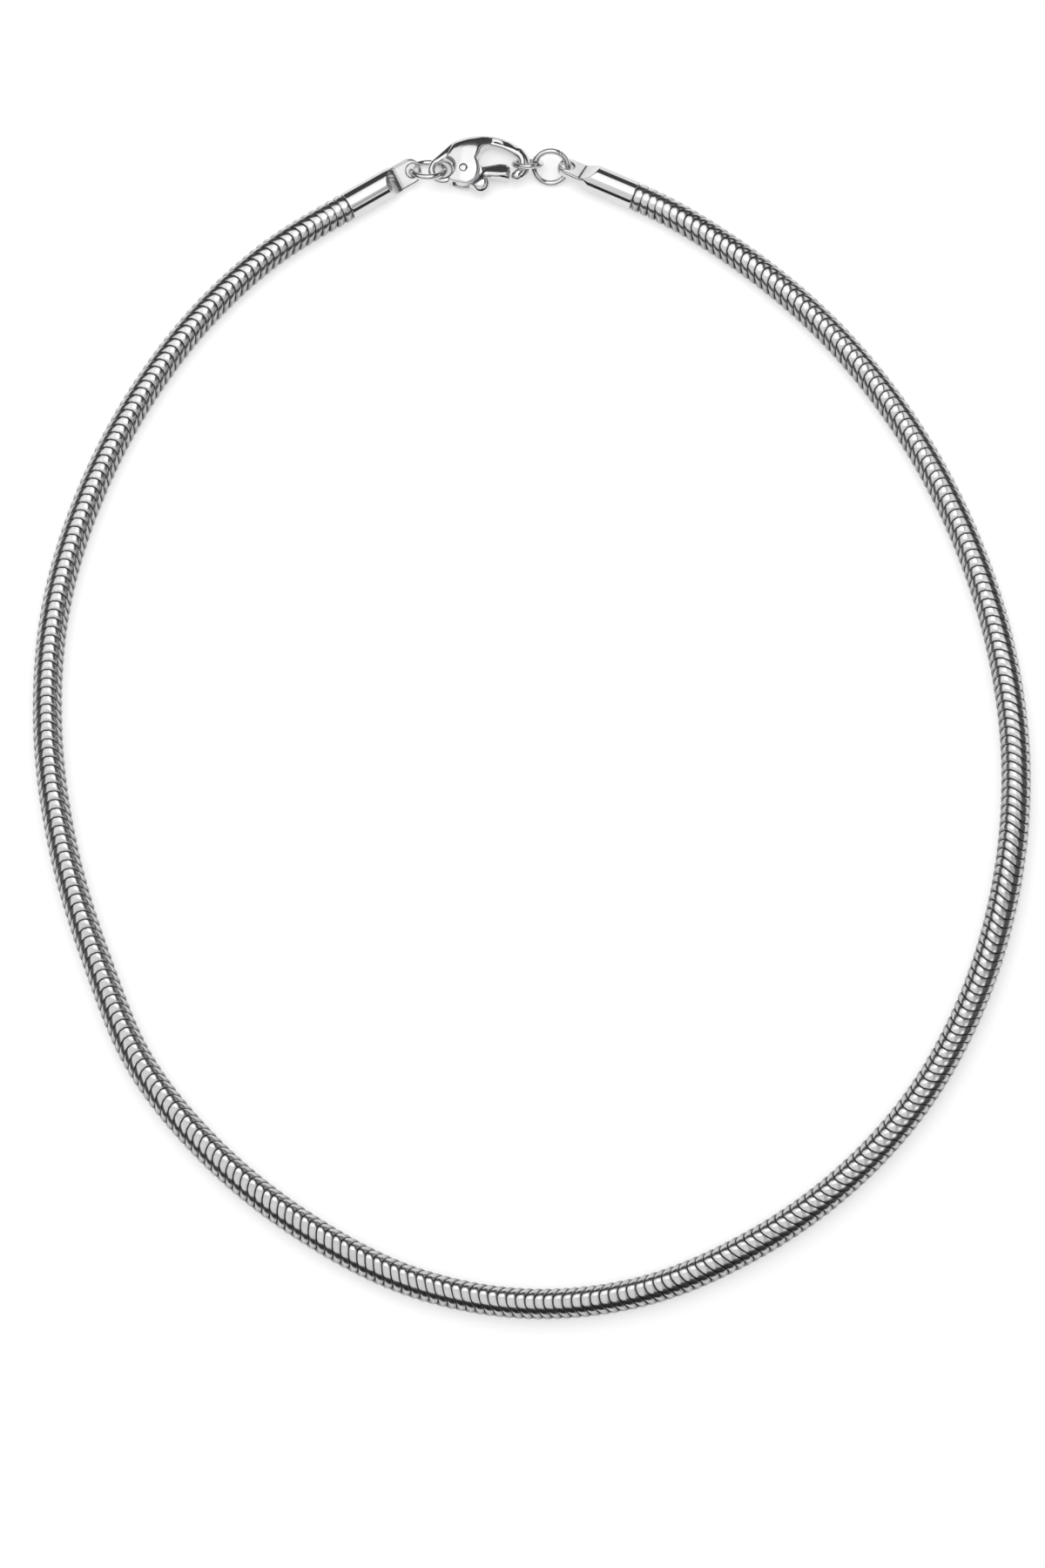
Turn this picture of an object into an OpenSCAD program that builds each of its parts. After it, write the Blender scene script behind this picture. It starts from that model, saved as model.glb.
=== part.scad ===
// A round snake chain necklace, closed with a lobster clasp and laid flat. Millimetres, +Z up.
// The clasp lies at +Y, the front of the chain at -Y, and everything shares one height above the surface.

/* [Chain] */
// Outer diameter of the snake chain
chain_d = 4; // [3:0.1:5]
// Length of chain seated inside each end cap
seat_l = 2.8; // [1.5:0.1:3.5]
// Gap between the chain's full diameter and the cap's mouth
mouth_gap = 0.1; // [0.05:0.05:0.3]

/* [End caps] */
// Outer diameter of a cap's round sleeve
cap_d = 4; // [3.4:0.1:5]
// Wall of the sleeve round the seated chain
cap_wall = 0.3; // [0.2:0.05:0.5]
// Length of the round sleeve
sleeve_l = 6; // [4:0.1:9]
// Length over which the sleeve slopes down to the tongue
slope_l = 2.2; // [1.5:0.1:4]
// Length of the tongue from the slope to the eyelet's centre
tongue_l = 2.2; // [1.8:0.1:4]
// Width of the flat tongue
tongue_w = 3.6; // [3:0.1:4]
// Thickness of the flat tongue
tongue_t = 0.8; // [0.6:0.05:1]
// Diameter of the eyelet drilled through the tongue
eyelet_d = 1.8; // [1.75:0.05:2]
// Distance from the eyelet's centre to the tongue's end
eyelet_edge = 1.2; // [1.1:0.05:1.6]
// Turn of the left cap about its own axis
left_roll = 40; // [36:1:50]
// Turn of the right cap about its own axis
right_roll = 32; // [28:1:42]
// Direction of the left cap, from its mouth to its tongue
left_heading = 31.5; // [29:0.5:34]
// Direction of the right cap, from its mouth to its tongue
right_heading = 155.5; // [153:0.5:158]

/* [Jump rings] */
// Outer diameter of the rings at the two caps
ring_d = 5.5; // [5.4:0.05:5.7]
// Wire of the rings at the two caps
ring_wire = 0.85; // [0.7:0.05:0.9]
// Outer diameter of the ring that the hook holds
hook_ring_d = 4.6; // [4.5:0.05:4.8]
// Wire of the ring that the hook holds
hook_ring_wire = 0.7; // [0.6:0.05:0.75]
// Lean of the left ring, its near side up
left_lean = -42; // [-45:1:-41]
// Lean of the right ring, its far side up
right_lean = 42; // [40:1:45]
// Lean of the hook's ring, its near side up
hook_lean = -57; // [-59:1:-55]

/* [Clasp] */
// Diameter of the round bar of the spine and hook
hook_d = 1.6; // [1.2:0.05:1.7]
// Radius of the spine's long curve
spine_r = 8.5; // [7:0.1:11]
// Height of the spine above the clasp's axis
spine_h = 3.3; // [3:0.1:4]
// Radius of the crook at the hook's end
crook_r = 2.05; // [1.9:0.05:2.4]
// Radius of the eye's ring
eye_r = 1.6; // [1.5:0.05:2]
// Diameter of the eye's bar
eye_wire = 1; // [0.8:0.05:1.1]
// Thickness of the cheeks at their thickest
body_t = 3.6; // [3:0.1:4]
// Radius of the domed faces of the cheeks
dome_r = 7.5; // [6:0.1:12]
// Radius of the keel, the cheeks' lower edge
keel_r = 8.5; // [7:0.1:12]
// Depth of the keel below the clasp's axis
keel_h = 3.5; // [3:0.1:4]

/* [Lever] */
// Thickness of the lever's root, between the cheeks
root_t = 1.4; // [1:0.1:1.6]
// Thickness of the lever's arm and thumb tab
arm_t = 2.2; // [1.6:0.1:2.6]
// Radius of the lever's round root
root_r = 1.3; // [1:0.05:1.5]
// Radius about the pivot where the arm starts
arm_start_r = 2.45; // [2.2:0.05:2.8]
// Radius of the round thumb tab
tab_r = 1.25; // [1:0.05:1.4]
// Distance from the pivot to the middle of the thumb tab
tab_out = 3.1; // [3:0.05:3.3]
// Diameter of the rivet
rivet_d = 1; // [0.8:0.05:1.2]
// Running clearance of the lever on the rivet
rivet_clear = 0.05; // [0.02:0.01:0.09]
// Gap between the lever and each cheek
cheek_gap = 0.1; // [0.05:0.05:0.2]
// Gap between the lever's arm and the cheeks' edge, and at the hook's tip
swing_gap = 0.15; // [0.1:0.05:0.3]

/* [Hidden] */
$fn = 96;

// Inner points of the chain's route, clockwise from the right cap to the left. Its ends are the caps' mouths.
route_points = [
    [29, 64], [41.5, 52.5], [51, 39.5], [58.5, 24], [63, 8], [64.5, -8.5], [62.5, -25.5], [58, -39.5],
    [50, -53.5], [39.5, -64.5], [28.5, -72], [14, -78], [-1, -79.5], [-14.5, -77], [-29.5, -69.5],
    [-42, -59.5], [-51, -48.5], [-57, -35], [-62, -19.5], [-64.5, -4], [-64, 13.5], [-59.5, 30.5],
    [-52.5, 45], [-45.5, 55], [-36, 64.5]
];

// The tube's sides and its rings to each span of the route
chain_sides = 12;
rings_per_span = 2;
// Clearance of the right ring from the hook's nose, the slack of the two rings that link there,
// how far each ring at a cap passes inside the eye or the eyelet, and the clearance of a seated chain
link_gap = 0.12;
link_slack = 0.3;
eye_in = 0.2;
eyelet_in = 0.12;
fit_gap = 0.1;
// Clearance of the rivet in the cheeks, which grip it
grip_gap = 0.02;
steel = "silver";
bright_steel = "gainsboro";
dark_steel = "darkgray";

// Radii of the rings' centrelines, and how far a leaning ring reaches from its centre
ring_r = (ring_d - ring_wire) / 2;
hook_ring_r = (hook_ring_d - hook_ring_wire) / 2;
function reach(r, wire, lean) = r * abs(sin(lean)) + wire / 2;

// One height for the chain, caps, rings and clasp, the least that keeps all of them above the surface
axis_h = max([
    chain_d / 2,
    cap_d / 2,
    body_t / 2,
    reach(ring_r, ring_wire, left_lean),
    reach(ring_r, ring_wire, right_lean),
    reach(hook_ring_r, hook_ring_wire, hook_lean)
]);

function polar(r, a) = [r * cos(a), r * sin(a)];
function arc_points(centre, r, from, to, steps) =
    [for (i = [0 : steps]) centre + polar(r, from + (to - from) * i / steps)];

// The clasp's own layout: x runs from its eye to its hook, y from its keel to its spine
clasp_at = [-7, 77.9];
pivot = [-2.4, -1.15];
eye_at = [-5.2, -0.9];
dome_at = [-1.4, 0.2];
keel_x = -0.9;
spine_x = 0.15;
hook_r = hook_d / 2;
joint_swell = 1.02;
spine_at = [spine_x, spine_h - spine_r];
keel_at = [keel_x, keel_r - keel_h];
// Angles where the spine leaves the cheeks, the shoulder meets the eye, and the crook starts and ends
spine_from = 116;
shoulder_a = 128;
crook_from = 53.3;
crook_to = -60;
crook_at = spine_at + polar(spine_r - crook_r, crook_from);
nose_tip = crook_at + polar(crook_r, crook_to);
nose_x = crook_at[0] + crook_r + hook_r;

// Rings along the clasp's axis: each hangs in the next
right_ring_at = [nose_x + link_gap + ring_wire / 2 + ring_r, -0.5];
hook_ring_at = [right_ring_at[0] - ring_r + (ring_wire + hook_ring_wire) / 2 + link_slack - hook_ring_r, 0];
left_ring_at = eye_at + [eye_in - ring_r, 0];

// Eyelets of the two caps, and from them the caps' mouths, where the chain starts and ends
right_eyelet = clasp_at + right_ring_at + [ring_r - eyelet_in, 0];
left_eyelet = clasp_at + left_ring_at + [eyelet_in - ring_r, 0];
cap_reach = sleeve_l + slope_l + tongue_l;
right_mouth = right_eyelet - polar(cap_reach, right_heading);
left_mouth = left_eyelet - polar(cap_reach, left_heading);

// The lever reaches to just short of the hook's tip, and swings clear of the hook's ring
hook_ring_left = [hook_ring_at[0] - hook_ring_r - hook_ring_wire / 2, hook_ring_at[1]];
lever_reach = min(norm(nose_tip - pivot) - hook_r, norm(hook_ring_left - pivot)) - swing_gap;
scallop_r = arm_start_r - swing_gap;
slot_t = root_t + 2 * cheek_gap;
// Angles about the pivot of the arm's inner edge, its tip and the thumb tab, and of the cheeks' scallop
arm_top = 14;
tip_top = 4;
tip_low = -13;
tab_a = -40;
arm_to = -68;
scallop_from = -75;
scallop_to = 44;

// The chain's route and its direction at each point, from the distances to the points beside it
route = concat([right_mouth], route_points, [left_mouth]);
last = len(route) - 1;
function span(i) = norm(route[i + 1] - route[i]);
function slope_at(i) = i == 0 ? -polar(1, right_heading)
    : i == last ? polar(1, left_heading)
    : ((route[i] - route[i - 1]) * span(i) / span(i - 1)
        + (route[i + 1] - route[i]) * span(i - 1) / span(i)) / (span(i) + span(i - 1));
function on_span(i, t) = let (m = slope_at(i) * span(i), n = slope_at(i + 1) * span(i))
    route[i] * (2 * pow(t, 3) - 3 * pow(t, 2) + 1) + m * (pow(t, 3) - 2 * pow(t, 2) + t)
    + route[i + 1] * (3 * pow(t, 2) - 2 * pow(t, 3)) + n * (pow(t, 3) - pow(t, 2));
function along_span(i, t) = let (m = slope_at(i) * span(i), n = slope_at(i + 1) * span(i))
    (route[i + 1] - route[i]) * (6 * t - 6 * pow(t, 2)) + m * (3 * pow(t, 2) - 4 * t + 1)
    + n * (3 * pow(t, 2) - 2 * t);

// Stations of the tube: centre, direction and radius
core_r = cap_d / 2 - cap_wall - fit_gap;
start_dir = -polar(1, right_heading);
end_dir = polar(1, left_heading);
stations = concat(
    [
        [right_mouth - start_dir * seat_l, start_dir, core_r],
        [right_mouth + start_dir * mouth_gap, start_dir, core_r],
        [right_mouth + start_dir * mouth_gap, start_dir, chain_d / 2]
    ],
    [for (i = [0 : last - 1]) for (k = [0 : rings_per_span - 1]) if (i + k > 0)
        [on_span(i, k / rings_per_span), along_span(i, k / rings_per_span), chain_d / 2]],
    [
        [left_mouth - end_dir * mouth_gap, end_dir, chain_d / 2],
        [left_mouth - end_dir * mouth_gap, end_dir, core_r],
        [left_mouth + end_dir * seat_l, end_dir, core_r]
    ]
);
function side_point(s, k) = let (d = s[1] / norm(s[1]), a = 360 * k / chain_sides)
    [s[0][0] - d[1] * s[2] * sin(a), s[0][1] + d[0] * s[2] * sin(a), s[2] * cos(a)];

module swept_tube(rows) {
    n = chain_sides;
    points = [for (s = rows) for (k = [0 : n - 1]) side_point(s, k)];
    walls = [for (j = [0 : len(rows) - 2]) for (k = [0 : n - 1])
        [j * n + k, j * n + (k + 1) % n, (j + 1) * n + (k + 1) % n, (j + 1) * n + k]];
    first_end = [for (k = [0 : n - 1]) n - 1 - k];
    last_end = [for (k = [0 : n - 1]) (len(rows) - 1) * n + k];
    polyhedron(points = points, faces = concat(walls, [first_end, last_end]), convexity = 10);
}

module snake_chain() {
    color(steel)
    translate([0, 0, axis_h])
    swept_tube(stations);
}

// A cap along +X, its mouth at the origin: a round sleeve, cut down by two slopes to a flat tongue
module cap_side_profile() {
    half = cap_d / 2 + 1;
    end = cap_reach + eyelet_edge + 1;
    polygon(concat(
        [[0, -half], [sleeve_l, -half]],
        [for (i = [0 : 8]) let (t = i / 8)
            [sleeve_l + slope_l * t, -tongue_t / 2 - (cap_d / 2 - tongue_t / 2) * pow(1 - t, 2)]],
        [[end, -tongue_t / 2], [end, tongue_t / 2]],
        [for (i = [8 : -1 : 0]) let (t = i / 8)
            [sleeve_l + slope_l * t, tongue_t / 2 + (cap_d / 2 - tongue_t / 2) * pow(1 - t, 2)]],
        [[sleeve_l, half], [0, half]]
    ));
}

module cap_plan() {
    corner_r = tongue_w * 0.42;
    end = cap_reach + eyelet_edge;
    narrow_from = sleeve_l + slope_l * 0.3;
    half = cap_d / 2 + 1;
    polygon(concat(
        [[0, -half], [narrow_from, -half], [narrow_from, -cap_d / 2], [sleeve_l + slope_l, -tongue_w / 2]],
        arc_points([end - corner_r, corner_r - tongue_w / 2], corner_r, -90, 0, 8),
        arc_points([end - corner_r, tongue_w / 2 - corner_r], corner_r, 0, 90, 8),
        [[sleeve_l + slope_l, tongue_w / 2], [narrow_from, cap_d / 2], [narrow_from, half], [0, half]]
    ));
}

module cap_shape() {
    end = cap_reach + eyelet_edge;
    difference() {
        intersection() {
            rotate([0, 90, 0])
            cylinder(d = cap_d, h = end);
            rotate([90, 0, 0])
            linear_extrude(height = 2 * cap_d, center = true)
            cap_side_profile();
            linear_extrude(height = 2 * cap_d, center = true)
            cap_plan();
        }
        translate([-1, 0, 0])
        rotate([0, 90, 0])
        cylinder(d = cap_d - 2 * cap_wall, h = 1 + seat_l + fit_gap);
        translate([cap_reach, 0, 0])
        cylinder(d = eyelet_d, h = 2 * cap_d, center = true);
    }
}

module placed_cap(mouth, heading, roll) {
    color(bright_steel)
    translate([mouth[0], mouth[1], axis_h])
    rotate([0, 0, heading])
    rotate([roll, 0, 0])
    cap_shape();
}

module end_cap_left() {
    placed_cap(left_mouth, left_heading, left_roll);
}

module end_cap_right() {
    placed_cap(right_mouth, right_heading, right_roll);
}

module wire_ring(centre, r, wire, lean) {
    translate([centre[0], centre[1], 0])
    rotate([lean, 0, 0])
    rotate_extrude()
    translate([r, 0])
    circle(d = wire);
}

module place_clasp() {
    translate([clasp_at[0], clasp_at[1], axis_h])
    children();
}

module jump_ring_left() {
    color(steel)
    place_clasp()
    wire_ring(left_ring_at, ring_r, ring_wire, left_lean);
}

module jump_ring_right() {
    color(steel)
    place_clasp()
    wire_ring(right_ring_at, ring_r, ring_wire, right_lean);
}

module hook_ring() {
    color(dark_steel)
    place_clasp()
    wire_ring(hook_ring_at, hook_ring_r, hook_ring_wire, hook_lean);
}

// A bent round bar: part of a ring between two angles
module bent_bar(centre, r, bar_r, from, to) {
    translate([centre[0], centre[1], 0])
    rotate([0, 0, from])
    rotate_extrude(angle = to - from)
    translate([r, 0])
    circle(r = bar_r);
}

// A straight bar between two points that may taper
module straight_bar(a, b, a_r, b_r) {
    d = b - a;
    translate([a[0], a[1], 0])
    rotate([0, 0, atan2(d[1], d[0])])
    rotate([0, 90, 0])
    cylinder(r1 = a_r, r2 = b_r, h = norm(d));
}

module domed_lens(centre, half_t) {
    intersection_for (side = [-1, 1])
    translate([centre[0], centre[1], side * (dome_r - half_t)])
    sphere(r = dome_r);
}

// The cheeks' outline: spine edge, round the eye, along the keel and back up the scallop for the lever
module cheek_outline() {
    edge_r = spine_r + hook_r / 2;
    brow_x = pivot[0] + scallop_r;
    right_angle = acos((brow_x - spine_x) / edge_r);
    keel_end = pivot + polar(scallop_r, scallop_from);
    polygon(concat(
        arc_points(spine_at, edge_r, right_angle, spine_from, 10),
        arc_points(eye_at, eye_r, 75, -60, 8),
        [for (i = [0 : 8]) let (x = eye_at[0] + eye_r / 2 + (keel_end[0] - eye_at[0] - eye_r / 2) * i / 8)
            [x, keel_at[1] - sqrt(pow(keel_r, 2) - pow(x - keel_x, 2))]],
        arc_points(pivot, scallop_r, scallop_from, scallop_to, 20),
        [[brow_x, pivot[1] + scallop_r]]
    ));
}

// The slot for the lever's root opens through the keel and the scallop, and stops short of the hook
module lever_slot() {
    left = pivot[0] - root_r - swing_gap;
    top = pivot[1] + root_r + swing_gap + cheek_gap;
    translate([left, -2 * keel_h, -slot_t / 2])
    cube([root_r + arm_start_r + 2 * swing_gap, 2 * keel_h + top, slot_t]);
}

// A ball a little thicker than the bars, its poles off their ends, which covers where two of them meet
module joint_ball(centre) {
    translate([centre[0], centre[1], 0])
    rotate([90, 0, 0])
    sphere(r = hook_r * joint_swell);
}

module clasp_body() {
    spine_start = spine_at + polar(spine_r, spine_from);
    color(steel)
    place_clasp()
    difference() {
        union() {
            intersection() {
                linear_extrude(height = 2 * body_t, center = true)
                cheek_outline();
                domed_lens(dome_at, body_t / 2);
            }
            bent_bar(eye_at, eye_r, eye_wire / 2, 0, 360);
            straight_bar(spine_start, eye_at + polar(eye_r, shoulder_a), hook_r, eye_wire / 2);
            joint_ball(spine_start);
            bent_bar(spine_at, spine_r, hook_r, crook_from, spine_from);
            joint_ball(spine_at + polar(spine_r, crook_from));
            bent_bar(crook_at, crook_r, hook_r, crook_to, crook_from);
            joint_ball(nose_tip);
        }
        lever_slot();
        translate([pivot[0], pivot[1], 0])
        cylinder(d = rivet_d + 2 * grip_gap, h = 2 * body_t, center = true);
    }
}

// The lever: a thin round root between the cheeks, then a thicker arm and thumb tab outside them
module root_outline() {
    circle(r = root_r);
    polygon(concat(
        [[0, root_r]],
        arc_points([0, 0], arm_start_r + swing_gap, arm_top, arm_to, 16),
        [[-root_r / 2, -root_r * 0.8]]
    ));
}

module arm_outline() {
    tab_at = polar(tab_out, tab_a);
    difference() {
        union() {
            polygon(concat(
                [[0, 0], polar(arm_start_r, arm_top), polar(lever_reach * 0.8, arm_top - 2)],
                [polar(lever_reach * 0.93, (arm_top + tip_top) / 2)],
                arc_points([0, 0], lever_reach, tip_top, tip_low, 8),
                [tab_at + polar(tab_r, 58), tab_at + polar(tab_r, 208)]
            ));
            translate(tab_at)
            circle(r = tab_r);
        }
        circle(r = arm_start_r);
    }
}

module clasp_lever() {
    color(dark_steel)
    place_clasp()
    translate([pivot[0], pivot[1], 0])
    difference() {
        union() {
            linear_extrude(height = root_t, center = true)
            root_outline();
            linear_extrude(height = arm_t, center = true)
            arm_outline();
        }
        cylinder(d = rivet_d + 2 * rivet_clear, h = 2 * body_t, center = true);
    }
}

module clasp_rivet() {
    dome_drop = dome_r - sqrt(pow(dome_r, 2) - pow(norm(pivot - dome_at), 2));
    color(bright_steel)
    place_clasp()
    translate([pivot[0], pivot[1], 0])
    cylinder(d = rivet_d, h = body_t - 2 * dome_drop, center = true);
}

snake_chain();
end_cap_left();
end_cap_right();
jump_ring_left();
jump_ring_right();
hook_ring();
clasp_body();
clasp_lever();
clasp_rivet();
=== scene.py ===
"""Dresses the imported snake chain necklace: ribbed links, pressed end caps, jump rings and a lobster clasp.

Pieces are modelled in millimetres by operators, as at a bench, and are brought to metres when they are done.
"""

import logging
import math
from dataclasses import dataclass
from enum import Enum
from typing import Any, Callable, Sequence

import bpy
import numpy as np
from mathutils import Euler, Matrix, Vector


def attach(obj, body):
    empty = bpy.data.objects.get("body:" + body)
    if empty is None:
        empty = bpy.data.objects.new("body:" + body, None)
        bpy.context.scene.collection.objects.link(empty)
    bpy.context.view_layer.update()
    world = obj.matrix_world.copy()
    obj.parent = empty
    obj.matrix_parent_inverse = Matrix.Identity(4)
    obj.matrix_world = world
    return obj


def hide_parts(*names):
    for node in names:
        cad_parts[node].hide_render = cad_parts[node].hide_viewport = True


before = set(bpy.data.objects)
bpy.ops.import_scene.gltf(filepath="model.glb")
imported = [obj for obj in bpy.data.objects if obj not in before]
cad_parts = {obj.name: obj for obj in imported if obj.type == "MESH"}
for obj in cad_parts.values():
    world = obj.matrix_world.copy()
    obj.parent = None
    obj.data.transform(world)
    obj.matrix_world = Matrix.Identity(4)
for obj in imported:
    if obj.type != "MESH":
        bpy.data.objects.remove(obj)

LOG = logging.getLogger("necklace")
METRES_PER_MM = 0.001
QUARTER_TURN = math.pi / 2
# Closer than this is one place; the least step in an outline; how far a tool reaches past what it cuts
TOUCH_MM = 1e-4
SLIVER_MM = 0.01
PAST_MM = 1.0
# What keeps a division from nought, and how straight up a face has to look to be picked
TINY = 1e-6
FACING = 0.9

Point = tuple[float, float]
Place = tuple[float, float, float]
Colour = tuple[float, float, float]
Thing = bpy.types.Object
Field = Callable[[float, float], float]

WHITE = (1.0, 1.0, 1.0, 1.0)


class Slot(Enum):
    """The record's material slots."""

    CHAIN = "chain_steel"
    CAP = "cap_steel"
    RING = "ring_steel"
    CLASP = "clasp_steel"


class Body(Enum):
    """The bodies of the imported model."""

    NECKLACE = "necklace"
    LEVER = "lever"


# --- Small geometry ---


def polar(radius: float, degrees: float) -> Point:
    """The point at that distance and angle from the origin."""
    angle = math.radians(degrees)
    return radius * math.cos(angle), radius * math.sin(angle)


def offset(point: Point, by: Point) -> Point:
    """The point moved by a step."""
    return point[0] + by[0], point[1] + by[1]


def distance(a: Point, b: Point) -> float:
    """How far apart two points are."""
    return math.hypot(b[0] - a[0], b[1] - a[1])


def held(value: float) -> float:
    """The value held between 0 and 1."""
    return min(1.0, max(0.0, value))


def arc(centre: Point, radius: float, start: float, end: float, steps: int) -> list[Point]:
    """Points along an arc.

    Args:
        centre: Middle of the arc.
        radius: Its radius.
        start: Angle of the first point, in degrees.
        end: Angle of the last point, in degrees.
        steps: How many steps lie between them.

    Returns:
        The steps + 1 points.
    """
    return [offset(centre, polar(radius, start + (end - start) * i / steps)) for i in range(steps + 1)]


def facing(at: Place, aim: Place) -> Euler:
    """The turn that points a lamp or a camera at a place."""
    return (Vector(aim) - Vector(at)).to_track_quat("-Z", "Y").to_euler()


# --- The bench: operators that act on one object at a time ---


def put_down() -> None:
    """Leaves edit mode and deselects every object."""
    if bpy.context.object and bpy.context.object.mode != "OBJECT":
        bpy.ops.object.mode_set(mode="OBJECT")
    bpy.ops.object.select_all(action="DESELECT")


def take_up(*objects: Thing) -> None:
    """Selects only these objects and makes the first one active.

    Args:
        objects: What to select.
    """
    put_down()
    for obj in objects:
        obj.select_set(True)
    bpy.context.view_layer.objects.active = objects[0]


def edit(obj: Thing, mode: str = "VERT") -> None:
    """Opens an object in edit mode with everything selected.

    Args:
        obj: What to edit.
        mode: Which elements the selection is made of.
    """
    take_up(obj)
    bpy.ops.object.mode_set(mode="EDIT")
    bpy.ops.mesh.select_mode(type=mode)
    bpy.ops.mesh.select_all(action="SELECT")


def make(operator: Callable[..., Any], **settings: Any) -> Thing:
    """Adds one object by an operator, with nothing else taken up.

    Args:
        operator: The operator.
        settings: Its properties.

    Returns:
        The new object.
    """
    put_down()
    operator(**settings)
    return bpy.context.object


def pick(obj: Thing, mode: str, test: Callable[[Any], bool]) -> None:
    """Opens an object in edit mode with only the parts that pass a test selected.

    Args:
        obj: What to edit.
        mode: EDGE or FACE.
        test: Whether an edge or a face is selected.
    """
    edit(obj, mode)
    bpy.ops.mesh.select_all(action="DESELECT")
    put_down()
    for part in obj.data.edges if mode == "EDGE" else obj.data.polygons:
        part.select = test(part)
    take_up(obj)
    bpy.ops.object.mode_set(mode="EDIT")


def ends_x(obj: Thing, edge: bpy.types.MeshEdge) -> list[float]:
    """The X of both ends of an edge."""
    return [obj.data.vertices[i].co.x for i in edge.vertices]


def apply_place(obj: Thing) -> Thing:
    """Bakes an object's place, turn and size into its mesh.

    Args:
        obj: The object.

    Returns:
        The same object.
    """
    take_up(obj)
    bpy.ops.object.transform_apply(location=True, rotation=True, scale=True)
    return obj


def apply_modifier(obj: Thing, kind: str, **settings: Any) -> Thing:
    """Adds one modifier and applies it.

    Args:
        obj: The object that gets it.
        kind: The modifier's type.
        settings: Its properties.

    Returns:
        The same object.
    """
    take_up(obj)
    modifier = obj.modifiers.new(kind.title(), kind)
    for name, value in settings.items():
        setattr(modifier, name, value)
    bpy.ops.object.modifier_apply(modifier=modifier.name)
    return obj


def drop(obj: Thing) -> None:
    """Removes a helper object."""
    bpy.data.objects.remove(obj, do_unlink=True)


def join(*objects: Thing) -> Thing:
    """Joins shells into the first one.

    Args:
        objects: The shells.

    Returns:
        The first one.
    """
    take_up(*objects)
    bpy.ops.object.join()
    return objects[0]


def close_and_orient(obj: Thing) -> Thing:
    """Merges doubles, fills open ends and turns all faces outwards.

    Args:
        obj: The shell.

    Returns:
        The same shell.
    """
    edit(obj)
    bpy.ops.mesh.remove_doubles(threshold=TOUCH_MM)
    bpy.ops.mesh.select_all(action="SELECT")
    bpy.ops.mesh.fill_holes(sides=0)
    bpy.ops.mesh.select_all(action="SELECT")
    bpy.ops.mesh.normals_make_consistent(inside=False)
    put_down()
    return obj


def extruded_outline(points: Sequence[Point], height: float) -> Thing:
    """A flat plate with an outline of its own, centred on the XY plane.

    Args:
        points: The outline.
        height: The plate's thickness.

    Returns:
        The closed plate.
    """
    plate = make(bpy.ops.mesh.primitive_circle_add, vertices=len(points), radius=1, fill_type="NGON")
    for vertex, (x, y) in zip(plate.data.vertices, points):
        vertex.co = (x, y, -height / 2)
    edit(plate, "FACE")
    bpy.ops.mesh.extrude_region_move(TRANSFORM_OT_translate={"value": (0, 0, height)})
    return close_and_orient(plate)


def round_bar(start: Sequence[float], end: Sequence[float], radii: Point, sides: int) -> Thing:
    """A straight round bar that may taper.

    Args:
        start: Middle of its first end.
        end: Middle of its second end.
        radii: Radius at each end.
        sides: How many sides it has.

    Returns:
        The closed bar.
    """
    a, b = Vector(start), Vector(end)
    return apply_place(make(
        bpy.ops.mesh.primitive_cone_add, vertices=sides, radius1=radii[0], radius2=radii[1],
        depth=(b - a).length, location=(a + b) / 2, rotation=(b - a).to_track_quat("Z", "Y").to_euler(),
    ))


def bent_bar(centre: Point, radius: float, bar_radius: float, start: float, end: float,
             steps: int = 48, sides: int = 32) -> Thing:
    """A round bar bent along an arc in the XY plane, made by spinning its end circle.

    Args:
        centre: Middle of the bend.
        radius: Radius of the bar's centre line.
        bar_radius: Radius of the bar itself.
        start: Angle of the first end, in degrees.
        end: Angle of the second end, in degrees.
        steps: Rings along the bend.
        sides: Points round the bar.

    Returns:
        The bar with both ends closed.
    """
    x, y = offset(centre, polar(radius, start))
    bar = apply_place(make(
        bpy.ops.mesh.primitive_circle_add, vertices=sides, radius=bar_radius, location=(x, y, 0),
        rotation=(QUARTER_TURN, 0, math.radians(start)),
    ))
    edit(bar)
    bpy.ops.mesh.spin(steps=steps, angle=math.radians(start - end), center=(*centre, 0), axis=(0, 0, 1))
    return close_and_orient(bar)


def ball(centre: Sequence[float], radius: float) -> Thing:
    """A ball that fills the corner where bars meet."""
    return apply_place(make(
        bpy.ops.mesh.primitive_ico_sphere_add, subdivisions=4, radius=radius, location=centre
    ))


def drill(obj: Thing, *cutters: Thing, keep: bool = False) -> Thing:
    """Cuts an object with others, or keeps only what lies inside them.

    Args:
        obj: What is cut.
        cutters: The tools, which are removed afterwards.
        keep: Whether the part inside the tools stays instead.

    Returns:
        The same object.
    """
    operation = "INTERSECT" if keep else "DIFFERENCE"
    for cutter in cutters:
        apply_modifier(obj, "BOOLEAN", operation=operation, object=cutter, solver="EXACT")
        drop(cutter)
    return obj


def cast_in_one(obj: Thing, voxel: float, strokes: int) -> None:
    """Fuses overlapping shells and polishes their corners round, as casting and tumbling do.

    Args:
        obj: Overlapping closed shells in one object.
        voxel: Size of the mesh that is laid over them, in millimetres.
        strokes: How many times the surface is smoothed.
    """
    apply_modifier(obj, "REMESH", mode="VOXEL", voxel_size=voxel, adaptivity=0.0)
    if strokes:
        apply_modifier(obj, "SMOOTH", factor=0.5, iterations=strokes)


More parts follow.
